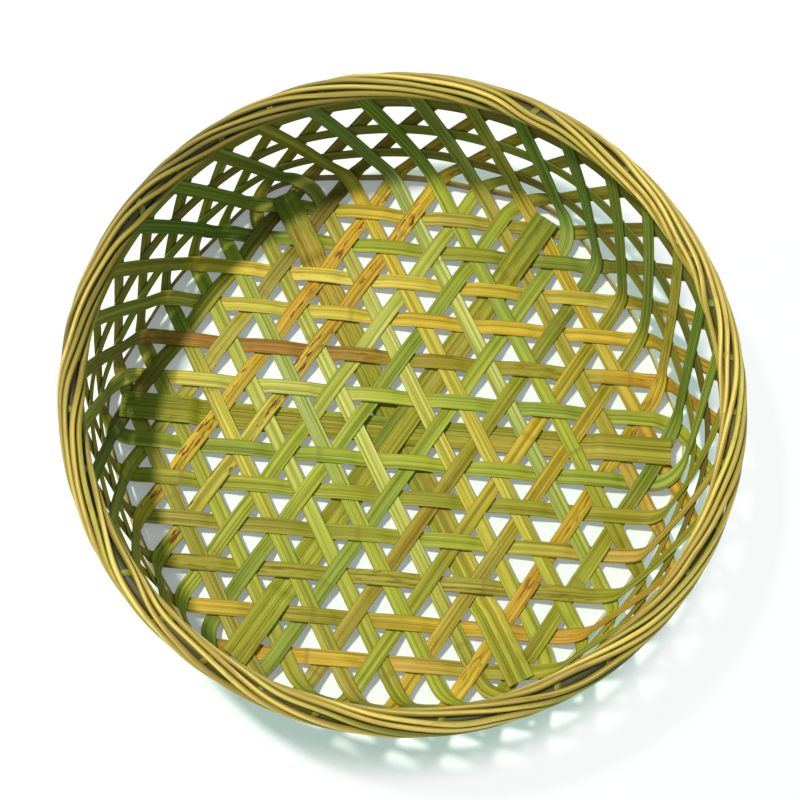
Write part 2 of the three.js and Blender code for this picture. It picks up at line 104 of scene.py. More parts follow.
# %% Points and directions on the sheet
corner_turn = math.pi / 2 - wall_flare
corner_end = flat_radius + corner_radius * corner_turn
wall_foot_height = mat_height + corner_radius * (1 - math.cos(corner_turn))
wall_length = (wall_top_height - wall_foot_height) / math.cos(wall_flare)
sheet_end = corner_end + wall_length
top_radius = flat_radius + corner_radius * math.sin(corner_turn)
top_radius += wall_length * math.sin(wall_flare)
splint_ends = 6
push_mean = 1.1 * mm
push_main = 3.8 * mm
push_point = 1.1 * mm


def corner_push(azimuth):
    turn = splint_ends * azimuth
    return push_mean + push_main * np.cos(turn) + push_point * np.cos(2 * turn)


def sheet_profile(distance, push=0.0):
    """Radius and height on the sheet, with the corner pushed out and the top kept."""
    edge = flat_radius + push
    out, up = top_radius - edge, wall_top_height - mat_height - corner_radius
    reach = np.hypot(out, up)
    turn = math.pi / 2 - (np.arccos(corner_radius / reach) - np.arctan2(up, out))
    wall = np.sqrt(reach**2 - corner_radius**2)
    end = edge + corner_radius * turn
    tilt = np.clip((distance - edge) / corner_radius, 0, turn)
    along = np.maximum(distance - end, 0) * wall / (sheet_end - end)
    radius = np.minimum(distance, edge) + corner_radius * np.sin(tilt) + along * np.cos(turn)
    height = mat_height + corner_radius * (1 - np.cos(tilt)) + along * np.sin(turn)
    return radius, height


def around(radius, azimuth, height):
    ways = radius * np.cos(azimuth), radius * np.sin(azimuth)
    return np.stack(np.broadcast_arrays(*ways, height), -1)


def unit(vectors):
    return vectors / np.linalg.norm(vectors, axis=-1, keepdims=True)


def sheet_surface(distance, azimuth):
    radius, height = sheet_profile(distance, corner_push(azimuth))
    return around(radius, azimuth, height)


def sheet_normal(distance, azimuth, step=0.05 * mm, turn=0.0005):
    outward = sheet_surface(distance + step, azimuth) - sheet_surface(distance - step, azimuth)
    onward = sheet_surface(distance, azimuth + turn) - sheet_surface(distance, azimuth - turn)
    return unit(np.cross(outward, onward))


def sheet_point(distance, azimuth, lift):
    lift = np.asarray(lift)[..., None]
    return sheet_surface(distance, azimuth) + lift * sheet_normal(distance, azimuth)


def sheet_distance_at(height):
    return corner_end + (height - wall_foot_height) / math.cos(wall_flare)


def smooth(share):
    share = np.clip(share, 0, 1)
    return share * share * (3 - 2 * share)


print("sheet from the centre to the rim:", round(sheet_end / mm, 1), "mm")

# %% [markdown]
# ## The course of a strip
#
# On the base a strip lies straight. On the wall the weaver coaxes every end round,
# so that all ends stand evenly and lean alike. The course below is traced outward
# in small steps, and blends from the straight line into the even one.

# %% Trace a course over the sheet
course_steps = 300
tiny = 1e-9
family_count = 3
end_spacing = math.pi / (family_count * strips_each_side)
kept_turn = math.acos((middle_offset + (kept_place - 1) * strip_pitch) / flat_radius)


class Course:
    """The half of a strip's line that turns anticlockwise, by distance from the centre."""

    def __init__(self, miss, place):
        self.miss = miss
        self.flat_length = math.sqrt(flat_radius**2 - miss**2)
        step = (sheet_end - flat_radius) / course_steps
        self.distance = flat_radius + step * np.arange(course_steps + 1)
        radius = sheet_profile(self.distance[1:] - step / 2)[0]
        onward = step * miss / (radius * np.sqrt(radius**2 - miss**2))
        turn = math.atan2(self.flat_length, miss) + np.concatenate([[0], np.cumsum(onward)])
        if place > 0:
            rising = np.concatenate([[0], np.cumsum(step * math.tan(wall_lean) / radius)])
            even = kept_turn + (kept_place - place) * end_spacing + rising
            turn = turn + (even - turn) * smooth((self.distance - flat_radius) / spread_length)
        around = radius * np.diff(turn)
        self.turn = turn
        path = np.cumsum(np.hypot(step, around))
        self.length = self.flat_length + np.concatenate([[0], path])
        self.lean = np.concatenate([[math.asin(miss / flat_radius)], np.arctan2(around, step)])

    def at(self, distance, on_flat, on_wall):
        wall = np.interp(distance, self.distance, on_wall)
        return np.where(distance <= flat_radius, on_flat, wall)

    def miss_share(self, distance):
        return np.clip(self.miss / np.maximum(distance, tiny), -1, 1)

    def turn_at(self, distance):
        return self.at(distance, np.arccos(self.miss_share(distance)), self.turn)

    def length_at(self, distance):
        flat = np.sqrt(np.maximum(0, np.square(distance) - self.miss**2))
        return self.at(distance, flat, self.length)

    def lean_at(self, distance):
        return self.at(distance, np.arcsin(self.miss_share(distance)), self.lean)

    def place_at(self, facing, length):
        reach = np.abs(length)
        distance = np.interp(reach, self.length, self.distance)
        turn = np.interp(reach, self.length, self.turn)
        on_flat = reach <= self.flat_length
        distance = np.where(on_flat, np.hypot(self.miss, reach), distance)
        turn = np.where(on_flat, np.arctan2(reach, self.miss), turn)
        return distance, facing + np.where(length < 0, -1, 1) * turn


print("the ends of a family stand", round(math.degrees(end_spacing), 1), "degrees apart")

# %% [markdown]
# ## The three families
#
# Twelve strips run across, twelve lean left and twelve lean right. Across and right
# strips pass over and under each other by turns, and each left strip is threaded
# between the two. On the wall the ends that lean one way lie inside and the others
# outside, with the weavers between them.

# %% Strips, groups and layers
families = {"across": math.radians(-90), "left": math.radians(30), "right": math.radians(-30)}


def even_offset(index):
    if index == 0:
        return 0.0
    return math.copysign(middle_offset + (abs(index) - 1) * strip_pitch, index)


def nearest_index(offset):
    if abs(offset) < middle_offset / 2:
        return 0
    count = 1 + max(0, math.floor((abs(offset) - middle_offset) / strip_pitch + 0.5))
    return int(math.copysign(count, offset))


def place_of(index):
    return index + strips_each_side + (1 if index < 0 else 0)


def offset_of(family, index):
    if index == 0 or abs(index) > strips_each_side:
        return even_offset(index)
    return even_offset(index) + slide_shares[family][place_of(index) - 1] * strip_pitch


class Strip:
    def __init__(self, family, index):
        self.family, self.index = family, index
        self.offset = offset_of(family, index)
        self.facing = families[family] + (math.pi if self.offset < 0 else 0)
        self.course = Course(abs(self.offset), abs(index))
        self.name = f"{family}_strip_{place_of(index):02d}"
        self.node = f"strip_{family}_{place_of(index):02d}"


def group_of(strip, other):
    """The three strips round a crossing: the third one's offset follows from the others."""
    group = {strip.family: strip.index, other.family: other.index}
    far = {family: even_offset(index) for family, index in group.items()}
    if "right" not in group:
        group["right"] = nearest_index(far["across"] + far["left"])
    elif "left" not in group:
        group["left"] = nearest_index(far["right"] - far["across"])
    else:
        group["across"] = nearest_index(far["right"] - far["left"])
    return group


def group_distance(strip, other):
    group = group_of(strip, other)
    across, left, right = (offset_of(name, group[name]) for name in families)
    miss = (across + left - right) / 3
    down, slant = across - miss, left - miss
    return math.hypot(down, (slant + down / 2) / math.cos(math.pi / 6))


def base_layer(strip, other):
    if strip.family == "left":
        return 0
    group = group_of(strip, other)
    across_on_top = (group["across"] + group["right"]) % 2 == 0
    return 1 if across_on_top == (strip.family == "across") else -1


strips = [
    Strip(family, index)
    for family in families
    for index in range(-strips_each_side, strips_each_side + 1)
    if index != 0
]
print("strips:", len(strips))

# %% [markdown]
# ## Where strips cross
#
# Two strips meet once on the base, where both are straight, and again on the wall,
# where the two courses are compared by azimuth. Each crossing keeps the strip level
# for the width of the other one. Between two level stretches it bends smoothly.

# %% Find the crossings
search_step = 1.5 * mm
# A gap of azimuth larger than this, in radians, is a jump at the far side of the ring
largest_gap = 1.5


def heading_at(course, distance, side):
    lean = float(course.lean_at(distance))
    return lean if side > 0 else math.pi - lean


def base_crossing(strip, other):
    turns = np.array([strip.facing, other.facing])
    facings = np.stack([np.cos(turns), np.sin(turns)], -1)
    point = np.linalg.solve(facings, [strip.course.miss, other.course.miss])
    distance = float(np.hypot(*point))
    if distance > flat_radius:
        return []
    along = [float(point @ (-f[1], f[0])) for f in facings]
    return [(distance, 1 if along[0] >= 0 else -1, 1 if along[1] >= 0 else -1)]


def wall_crossings(strip, other):
    found = []
    count = int(math.ceil((sheet_end - flat_radius) / search_step))
    distance = np.linspace(flat_radius, sheet_end, count + 1)
    for side in (1, -1):
        for other_side in (1, -1):
            gap = strip.facing + side * strip.course.turn_at(distance)
            gap = gap - other.facing - other_side * other.course.turn_at(distance)
            gap = np.arctan2(np.sin(gap), np.cos(gap))
            change = (gap[:-1] != 0) & (gap[:-1] * gap[1:] <= 0)
            change &= np.abs(gap[:-1]) < largest_gap
            for i in np.nonzero(change)[0]:
                share = gap[i] / (gap[i] - gap[i + 1])
                at = distance[i] + share * (distance[i + 1] - distance[i])
                found.append((float(at), side, other_side))
    return found


print("wall crossings are looked for every", search_step / mm, "mm")

# %% Find the level stretches
# The first and the last level stretch go on past the ends of every strip
past_the_ends = 1.0
lower_weaver_height = 29 * mm
weaver_width = 7 * mm


def level_place(strip, side, distance, layer, heading, width):
    turn = heading - heading_at(strip.course, distance, side)
    length = side * float(strip.course.length_at(distance))
    slant = strip_width / 2 / math.tan(turn)
    half = width / 2 / abs(math.sin(turn)) + bend_margin
    return {
        "length": length, "layer": layer,
        "left": (length + slant - half, length + slant + half),
        "right": (length - slant - half, length - slant + half),
    }


def level_stretches(strip):
    places = []
    for other in strips:
        if other.family == strip.family:
            continue
        crossings = base_crossing(strip, other) + wall_crossings(strip, other)
        for distance, side, other_side in crossings:
            up = distance > flat_radius + corner_radius
            up = up or group_distance(strip, other) > flat_radius - weave_switch_inset
            layer = side if up else base_layer(strip, other)
            heading = heading_at(other.course, distance, other_side)
            places.append(level_place(strip, side, distance, layer, heading, strip_width))
    weaver = sheet_distance_at(lower_weaver_height)
    for side in (-1, 1):
        places.append(level_place(strip, side, weaver, side, math.pi / 2, weaver_width))
    places.sort(key=lambda place: place["length"])
    stretches = []
    for place in places:
        last = stretches[-1] if stretches else None
        if last and last["layer"] == place["layer"]:
            for edge in ("left", "right"):
                low, high = last[edge]
                last[edge] = (min(low, place[edge][0]), max(high, place[edge][1]))
        else:
            stretches.append(dict(place))
    for before, after in zip(stretches, stretches[1:]):
        for edge in ("left", "right"):
            missing = max(0, least_rise - (after[edge][0] - before[edge][1])) / 2
            before[edge] = (before[edge][0], before[edge][1] - missing)
            after[edge] = (after[edge][0] + missing, after[edge][1])
    return stretches


def eased(keys, values, at):
    """Between the keys the values follow a smooth bend instead of a straight line."""
    keys, values = np.array(keys), np.array(values)
    spot = np.clip(np.searchsorted(keys, at, side="right") - 1, 0, len(keys) - 2)
    share = (at - keys[spot]) / np.maximum(keys[spot + 1] - keys[spot], tiny)
    return values[spot] + (values[spot + 1] - values[spot]) * smooth(share)


def edge_lift(stretches, edge, lengths):
    """Lift of one edge of a strip: level at the crossings, a smooth bend between them."""
    keys = np.array([stretch[edge] for stretch in stretches]).ravel()
    keys[[0, -1]] = -past_the_ends, past_the_ends
    lifts = np.repeat([stretch["layer"] * layer_step for stretch in stretches], 2)
    return eased(np.maximum.accumulate(keys), lifts, lengths)


stretches_of = {strip.name: level_stretches(strip) for strip in strips}
print("level stretches of the first strip:", len(stretches_of[strips[0].name]))

# %% [markdown]
# ## Short words for node trees
#
# A node tree is made of many small nodes, and each of them is added, set and linked
# in the same way. One small class does that for all trees of this lesson, so that a
# tree reads like a sum. What it is given for an input is either a value, which is
# set there, or another node's socket, which is linked to it.

# %% Short words for node trees
class Wiring:
    """Adds, sets and links the nodes of one tree."""

    def __init__(self, tree, inputs=(), outputs=()):
        self.tree = tree
        for in_out, sockets in (("INPUT", inputs), ("OUTPUT", outputs)):
            for name, kind, *start in sockets:
                socket = tree.interface.new_socket(
                    name, in_out=in_out, socket_type="NodeSocket" + kind)
                if start:
                    socket.default_value = start[0]

    def feed(self, socket, value):
        if isinstance(value, bpy.types.NodeSocket):
            self.tree.links.new(value, socket)
        else:
            socket.default_value = value

    def add(self, kind, feeds=None, **settings):
        node = self.tree.nodes.new(kind)
        for name, value in settings.items():
            setattr(node, name, value)
        for key, value in (feeds or {}).items():
            self.feed(node.inputs[key], value)
        return node

    def calc(self, kind, first, second=0.0, **settings):
        return self.add("ShaderNodeMath", {0: first, 1: second}, operation=kind,
                        **settings).outputs[0]

    def place(self, **axes):
        return self.add("ShaderNodeCombineXYZ", axes).outputs[0]

    def ends(self):
        return self.add("NodeGroupInput").outputs, self.add("NodeGroupOutput").inputs


def end_shape(made, geometry, given, result):
    """Every shape ends as plain faces with its material on them."""
    whole = made.add("GeometryNodeRealizeInstances", {"Geometry": geometry})
    painted = made.add("GeometryNodeSetMaterial", {
        "Geometry": whole.outputs["Geometry"], "Material": given["Material"],
    })
    made.feed(result[0], painted.outputs["Geometry"])


print("words for nodes:", ", ".join(name for name in vars(Wiring) if not name.startswith("_")))

# %% [markdown]
# ## A split of bamboo along a path
#
# Every piece of this basket is a split of bamboo that follows a line: flat strips,
# thick splints, thin weavers and the round splits of the rim. One Geometry Nodes
# tree makes them all. It gets a line of points with a facing direction, sweeps a
# rounded section along it, and stores the distance along and across the split as
# its UV map, in metres, so that the fibres can follow it. Curve to Mesh does this
# better than a bevelled curve, because the facing is set at every point.

# %% Geometry Nodes: sweep a split along its line
def split_tree():
    tree = bpy.data.node_groups.new("split along a line", "GeometryNodeTree")
    made = Wiring(tree, [("Line", "Geometry"), ("Width", "Float"), ("Thickness", "Float"),
                         ("Squareness", "Float"), ("Sides", "Int"), ("Material", "Material")],
                  [("Split", "Geometry")])
    add, calc = made.add, made.calc
    given, result = made.ends()

    def named(name, kind):
        node = add("GeometryNodeInputNamedAttribute", {"Name": name}, data_type=kind)
        return node.outputs["Attribute"]

    def captured(geometry, name, value):
        node = add("GeometryNodeCaptureAttribute", domain="POINT")
        node.capture_items.new("FLOAT", name)
        made.feed(node.inputs["Geometry"], geometry)
        made.feed(node.inputs[name], value)
        return node.outputs["Geometry"], node.outputs[name]

    def position(axis):
        here = add("GeometryNodeInputPosition").outputs[0]
        return add("ShaderNodeSeparateXYZ", {0: here}).outputs[axis]

    # The line, with its facing and its length
    line = add("GeometryNodeMeshToCurve", {"Mesh": given["Line"]})
    facing = add("GeometryNodeSetCurveNormal", {
        "Curve": line.outputs["Curve"], "Normal": named("facing", "FLOAT_VECTOR"),
    }, mode="FREE")
    length = add("GeometryNodeSplineParameter").outputs["Length"]
    line, along = captured(facing.outputs["Curve"], "Along", length)

    # The section: a circle pushed out towards a rounded rectangle
    circle = add("GeometryNodeCurvePrimitiveCircle", {"Radius": 1, "Resolution": given["Sides"]})
    power = calc("SUBTRACT", 1.0, given["Squareness"])

    def pushed(value, size):
        grown = calc("POWER", calc("ABSOLUTE", value), power)
        grown = calc("MULTIPLY", grown, calc("SIGN", value))
        return calc("MULTIPLY", grown, calc("MULTIPLY", size, 0.5))

    shaped = add("GeometryNodeSetPosition", {
        "Geometry": circle.outputs["Curve"],
        "Position": made.place(X=pushed(position("X"), given["Thickness"]),
                               Y=pushed(position("Y"), given["Width"])),
    })
    section, across = captured(shaped.outputs["Geometry"], "Across", position("Y"))

    # Sweep, slant the cut ends, store the map
    sweep = add("GeometryNodeCurveToMesh", {
        "Curve": line, "Profile Curve": section, "Scale": named("girth", "FLOAT"),
        "Fill Caps": True,
    })
    slant = add("ShaderNodeVectorMath", {0: named("slant", "FLOAT_VECTOR"), "Scale": across},
                operation="SCALE")
    cut = add("GeometryNodeSetPosition", {
        "Geometry": sweep.outputs["Mesh"], "Offset": slant.outputs[0],
    })
    store = add("GeometryNodeStoreNamedAttribute", {
        "Geometry": cut.outputs["Geometry"], "Name": "UVMap",
        "Value": made.place(X=along, Y=across),
    }, data_type="FLOAT2", domain="CORNER")
    rounded = add("GeometryNodeSetShadeSmooth", {"Geometry": store.outputs["Geometry"]})
    end_shape(made, rounded.outputs["Geometry"], given, result)
    return tree


split = split_tree()
print("tree:", split.name, "with", len(split.nodes), "nodes")

# %% [markdown]
# ## From a line to a finished piece
#
# The line is a chain of points with a few values at each: its facing, its girth,
# its tint and how much of a knot is there. The tree is run once, and its result is
# kept as a plain mesh, because the modifier isn't needed after that.

# %% Make one piece from its line
def store_values(mesh, values):
    fields = {"FLOAT_VECTOR": "vector", "FLOAT_COLOR": "color", "FLOAT": "value"}
    kinds = {"facing": "FLOAT_VECTOR", "slant": "FLOAT_VECTOR", "tint": "FLOAT_COLOR"}
    for key, value in values.items():
        kind = kinds.get(key, "FLOAT")
        layer = mesh.attributes.new(key, kind, "POINT")
        layer.data.foreach_set(fields[kind], np.asarray(value, np.float32).ravel())


def placed(name, data):
    thing = bpy.data.objects.new(name, data)
    bpy.context.scene.collection.objects.link(thing)
    return thing


def line_object(name, points, values, closed):
    count = len(points)
    edges = [(i, (i + 1) % count) for i in range(count if closed else count - 1)]
    mesh = bpy.data.meshes.new(name)
    mesh.from_pydata([tuple(p) for p in points], edges, [])
    store_values(mesh, values)
    return placed(name, mesh)


def baked(piece, tree, settings):
    """The piece with the tree's result as its plain mesh."""
    change = piece.modifiers.new("shape", "NODES")
    change.node_group = tree
    sockets = {socket.name: socket.identifier for socket in tree.interface.items_tree}
    for key, value in settings.items():
        change[sockets[key]] = value
    bpy.context.view_layer.update()
    graph = bpy.context.evaluated_depsgraph_get()
    mesh = bpy.data.meshes.new_from_object(piece.evaluated_get(graph))
    piece.modifiers.remove(change)
    line, piece.data = piece.data, mesh
    mesh.name = piece.name
    bpy.data.meshes.remove(line)
    for key in ("facing", "slant", "girth"):
        if key in mesh.attributes:
            mesh.attributes.remove(mesh.attributes[key])
    return piece


def dress(piece, node):
    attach(piece, "root")
    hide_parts(node)
    return piece


def swept(name, points, values, width, thickness, squareness, sides, finish, closed=False):
    count = len(points)
    values = {"girth": np.ones(count), "slant": np.zeros((count, 3)), "knot": np.zeros(count),
              **values}
    return baked(line_object(name, points, values, closed), split, {
        "Width": width, "Thickness": thickness, "Squareness": squareness, "Sides": sides,
        "Material": finish,
    })


print("values kept on a finished piece: tint, specks, lot and knot")

# %% [markdown]
# ## Bamboo colours
#
# The basket was made from fresh and half-dried bamboo together, so hardly two strips
# match: straw, gold, khaki, fresh green and a rusty brown one. A named palette keeps
# the choices readable. Each strip gets a few of these names from one end to the
# other, and the tint is blended between them along its length.

# %% Palette
# Inner and outer are the tints of the wall's ends: their own greener and browner hue, darkened
# with painted shade of the wall.
palette = {
    "straw": (202, 181, 68), "gold": (198, 163, 44), "amber": (194, 146, 42),
    "rust": (152, 107, 34), "khaki": (164, 147, 54), "olive": (152, 143, 38),
    "moss": (118, 128, 36), "fresh": (162, 163, 48), "vivid": (140, 149, 50),
    "pale": (190, 184, 86), "mist": (164, 170, 88), "deep": (62, 66, 24),
    "bark": (104, 90, 20), "tan": (186, 150, 58), "inner": (88, 126, 62),
    "outer": (140, 116, 48), "cane": (236, 200, 98), "reed": (206, 171, 76),
    "umber": (148, 126, 28), "cream": (242, 230, 176),
}


def linear(color):
    value = np.asarray(color, float) / 255
    return np.where(value <= 0.04045, value / 12.92, ((value + 0.055) / 1.055) ** 2.4)


def tint_along(names, shares):
    stops = np.array([linear(palette[name]) for name in names.split()])
    keys = np.linspace(0, 1, len(stops))
    rgb = np.stack([np.interp(shares, keys, stops[:, i]) for i in range(3)], -1)
    return np.concatenate([rgb, np.ones((len(rgb), 1))], -1)


print("palette:", ", ".join(palette))

# %% [markdown]
# ## The look of split bamboo
#
# Bamboo has fibres from end to end: fine lines, a few broader bands and now and then
# a dark one. The skin is satin and the drying brings slow drifts of colour. One
# shader group makes all of it from the distance along and across the split, and the
# materials place it with their own values. The group puts out a colour, a roughness
# and a height. The shader itself stays in each material.

# %% Patterns and paints of the grain
# Length and width of a pattern's features in millimetres, its own shift, and the
# detail and roughness of its noise.
grain_patterns = {
    "fibres": (90, 0.35, 1.7, 3, 0.6), "bands": (160, 1.5, 4.1, 1, 0.5),
    "furrows": (220, 0.8, 8.9, 0, 0.5), "drift": (34, 6, 12.3, 2, 0.5),
    "warmth": (52, 9, 17.9, 1, 0.5), "spots": (8, 1.3, 23.3, 2, 0.6),
    "spot places": (24, 4, 31.7, 0, 0.5),
}
lot_shift = 7.31
paints = {
    "dark": (0.38, 0.38, 0.17, 1), "light": (1.3, 1.28, 1.9, 1),
    "green": (0.85, 0.97, 0.75, 1), "warm": (1.08, 0.95, 0.75, 1),
}
speck_color = (0.15, 0.035, 0.01, 1)
speck_share = 0.95
knot_color = (0.3, 0.17, 0.03, 1)
knot_color_share, knot_share = 0.4, 0.45
# Where spots, the places that have them, pale edges and knots start and are full
spots_from, spot_places_from = (0.53, 0.59), (0.45, 0.56)
pale_edge_from, knot_from = (0.8, 0.98), (0.25, 0.9)
roughness_start, fibre_roughness, speck_roughness = 0.5, 0.2, 0.2
relief = {"fibres": 0.5, "bands": 0.35, "furrows": -0.5, "knot": 0.8}
# Pattern, where it starts and is full, the input that scales it, share and paint
grain_layers = [
    ("drift", 0.5, 0.72, "Drift", 1.0, "green"), ("warmth", 0.52, 0.72, "Drift", 1.0, "warm"),
    ("bands", 0.48, 0.64, "Lines", 0.65, "dark"), ("bands", 0.48, 0.34, "Lines", 0.85, "light"),
    ("fibres", 0.5, 0.68, "Lines", 0.55, "dark"), ("furrows", 0.64, 0.7, "Lines", 0.6, "dark"),
]
print("patterns:", len(grain_patterns), "layers:", len(grain_layers))

# %% Shader group: split bamboo
def bamboo_group():
    tree = bpy.data.node_groups.new("split bamboo", "ShaderNodeTree")
    inputs = {"Lines": 0.5, "Drift": 0.5, "Specks": 0.0, "Knot": 0.0, "Lot": 0.0,
              "Half Width": 3.7 * mm, "Pale Edge": 0.35, "Dark Edge": 0.0, "Edge From": 0.86}
    made = Wiring(tree, [("Tint", "Color"), *((name, "Float", start)
                                              for name, start in inputs.items())],
                  [("Color", "Color"), ("Roughness", "Float"), ("Height", "Float")])
    add, calc = made.add, made.calc
    given, result = made.ends()
    uv = add("ShaderNodeUVMap", uv_map="UVMap").outputs[0]
    along, across = add("ShaderNodeSeparateXYZ", {0: uv}).outputs[:2]

    def pattern(length, width, shift, detail, rough):
        """Noise whose features are about length long and width wide."""
        where = made.place(
            X=calc("MULTIPLY", along, 1 / (length * mm)),
            Y=calc("MULTIPLY", across, 1 / (width * mm)),
            Z=calc("ADD", calc("MULTIPLY", given["Lot"], lot_shift), shift))
        return add("ShaderNodeTexNoise", {
            "Vector": where, "Scale": 1, "Detail": detail, "Roughness": rough,
        }).outputs["Fac"]

    def window(value, low, high):
        return add("ShaderNodeMapRange", {"Value": value, "From Min": low, "From Max": high},
                   interpolation_type="SMOOTHSTEP").outputs["Result"]

    def blended(share, first, second, kind="MIX"):
        # For colours a Mix node has its share at input 0 and the two colours at 6 and 7.
        return add("ShaderNodeMix", {0: share, 6: first, 7: second}, data_type="RGBA",
                   blend_type=kind).outputs[2]

    shown = {name: pattern(*sizes) for name, sizes in grain_patterns.items()}
    painted = {name: blended(1.0, given["Tint"], paint, "MULTIPLY")
               for name, paint in paints.items()}
    color, shares = given["Tint"], {}
    for name, low, high, scale, share, paint in grain_layers:
        shares[name] = calc("MULTIPLY", window(shown[name], low, high), given[scale])
        color = blended(calc("MULTIPLY", shares[name], share), color, painted[paint])
    speck = calc("MULTIPLY", window(shown["spots"], *spots_from),
                 window(shown["spot places"], *spot_places_from))
    speck = calc("MULTIPLY", speck, given["Specks"])
    color = blended(calc("MULTIPLY", speck, speck_share), color, speck_color)
    edge = calc("DIVIDE", calc("ABSOLUTE", across), given["Half Width"])
    pale_edge = calc("MULTIPLY", window(edge, *pale_edge_from), given["Pale Edge"])
    color = blended(pale_edge, color, painted["light"])
    # The dark edge is partly darker cut fibre and partly painted shade, where a split lies against
    # the pieces beside and under it.
    edge_shade_and_dark_fibre = calc("MULTIPLY", window(edge, given["Edge From"], 1.0), given["Dark Edge"])
    color = blended(edge_shade_and_dark_fibre, color, painted["dark"])
    knot = window(given["Knot"], *knot_from)
    ring = blended(knot_color_share, painted["dark"], knot_color)
    made.feed(result["Color"], blended(calc("MULTIPLY", knot, knot_share), color, ring))

    rough = calc("ADD", roughness_start, calc("MULTIPLY", shown["fibres"], fibre_roughness))
    rough = calc("ADD", rough, calc("MULTIPLY", speck, speck_roughness), use_clamp=True)
    made.feed(result["Roughness"], rough)
    height, masks = 0.0, {**shown, "furrows": shares["furrows"], "knot": knot}
    for name, rise in relief.items():
        height = calc("ADD", height, calc("MULTIPLY", masks[name], rise))
    made.feed(result["Height"], height)
    return tree


bamboo = bamboo_group()
print("shader group:", bamboo.name, "with", len(bamboo.nodes), "nodes")

# %% [markdown]
# ## One material for each kind of split
#
# A material reads the tint and the other values from the piece's own attributes,
# passes them through the group, and holds the shader. The strips and splints have
# little gloss, the weavers and the hoop more, and the rim has a thin coat.

# %% Materials
bump_distance = 0.2 * mm
coat_roughness = 0.35


def bamboo_material(name, half_width, lines, drift, bump=0.35, gloss=0.5, coat=0.0,
                    edges=(0.25, 0.6, 0.86)):
    material = bpy.data.materials.new(name)
    material.use_nodes = True
    made = Wiring(material.node_tree)
    shader = next(n for n in material.node_tree.nodes if n.type == "BSDF_PRINCIPLED")

    def stored(name, output="Fac"):
        return made.add("ShaderNodeAttribute", attribute_type="GEOMETRY",
                        attribute_name=name).outputs[output]

    # Pale edges are the split's own paler cut; the dark edge is darker cut fibre and painted shade
    # where pieces lie against each other.
    pale_edge, edge_shade_and_dark_fibre, edge_from = edges
    look = made.add("ShaderNodeGroup", {
        "Tint": stored("tint", "Color"), "Specks": stored("specks"), "Knot": stored("knot"),
        "Lot": stored("lot"), "Half Width": half_width, "Lines": lines, "Drift": drift,
        "Pale Edge": pale_edge, "Dark Edge": edge_shade_and_dark_fibre, "Edge From": edge_from,
    }, node_tree=bamboo).outputs
    raised = made.add("ShaderNodeBump", {
        "Strength": bump, "Distance": bump_distance, "Height": look["Height"],
    })
    for key, value in {
        "Base Color": look["Color"], "Roughness": look["Roughness"], "Specular IOR Level": gloss,
        "Coat Weight": coat, "Coat Roughness": coat_roughness, "Normal": raised.outputs["Normal"],
    }.items():
        made.feed(shader.inputs[key], value)
    return material


finishes = {
    family: bamboo_material(f"{family}_strip_bamboo", strip_width / 2, lines=0.95, drift=drift,
                            gloss=0.2)
    for family, drift in {"across": 0.6, "left": 0.6, "right": 0.65}.items()
}
print("strip finishes:", len(finishes))

# %% [markdown]
# ## The thirty-six strips
#
# Each strip is one split from rim to rim. Its two edges rise at different places,
# because they meet the edges of the crossed strips at a slant, so the facing rolls
# a little on the way. The list gives each strip's colours in the order in which
# they are seen from the left or from the top, then how many specks it has.

# %% Colours of the strips
strip_looks = {
    "across": [
        ("olive gold khaki olive", 0), ("moss fresh olive moss", 0),
        ("gold straw gold straw", 0.2), ("straw straw gold gold gold", 0),
        ("rust rust rust umber umber olive amber", 0.5), ("straw pale fresh vivid fresh", 0),
        ("fresh vivid fresh fresh vivid", 0), ("olive fresh olive olive", 0),
        ("khaki olive fresh tan", 0), ("olive olive khaki olive", 0.5),
        ("gold olive gold amber", 0.2), ("amber gold tan olive", 0.2),
    ],
    "left": [
        ("khaki olive khaki", 0), ("olive fresh olive", 0.1), ("moss straw fresh khaki", 0),
        ("fresh pale fresh olive", 0), ("fresh mist fresh fresh", 0), ("olive pale pale olive", 0),
        ("khaki pale straw fresh", 0.1), ("gold straw straw fresh", 0),
        ("mist pale mist fresh", 0), ("fresh vivid fresh olive", 0),
        ("khaki khaki olive tan", 0.2), ("gold gold straw amber", 0),
    ],
    "right": [
        # The bark of the first two right strips, which lie by the wall at the far left, is their
        # brown-olive darkened with painted shade.
        ("bark olive bark", 0), ("bark khaki olive", 0.2), ("gold amber gold gold", 0.9),
        ("gold amber straw olive", 1.0), ("fresh pale fresh fresh", 0),
        ("fresh vivid fresh moss", 0), ("vivid fresh vivid vivid", 0),
        ("moss olive umber khaki", 0.2), ("olive gold olive fresh", 0),
        ("olive gold khaki gold", 0.2), ("gold gold amber gold", 0.6),
        ("moss olive fresh olive", 0),
    ],
}
print("looks of strips:", sum(map(len, strip_looks.values())))

# %% Line of a strip
line_step = 2 * mm
cut_length = 6 * mm


def steps_along(reach):
    return np.linspace(-reach, reach, int(2 * reach / line_step) + 1)


def strip_line(strip):
    course = strip.course
    reach = float(course.length[-1])
    lengths = steps_along(reach)
    distance, azimuth = course.place_at(strip.facing, lengths)
    left, right = (edge_lift(stretches_of[strip.name], edge, lengths)
                   for edge in ("left", "right"))
    points = sheet_point(distance, azimuth, (left + right) / 2)
    travel = unit(np.gradient(points, axis=0))
    leftward = unit(np.cross(sheet_normal(distance, azimuth), travel))
    normal = np.cross(travel, leftward)
    roll = np.arctan2(left - right, strip_width)[:, None]
    facing = normal * np.cos(roll) - leftward * np.sin(roll)
    # The ends are cut level: the last millimetres lean with the wall.
    nearness = smooth(1 - (reach - np.abs(lengths)) / cut_length)
    lean = math.tan(float(course.lean[-1])) * np.sign(lengths)
    slant = -travel * (lean * nearness)[:, None]
    return lengths, distance, points, {"facing": facing, "slant": slant}


print("points on the line of the first strip:", len(strip_line(strips[0])[0]))

# %% Tint and knots of a strip
tint_rise = 22 * mm
wall_hue_and_shade_share = 0.55
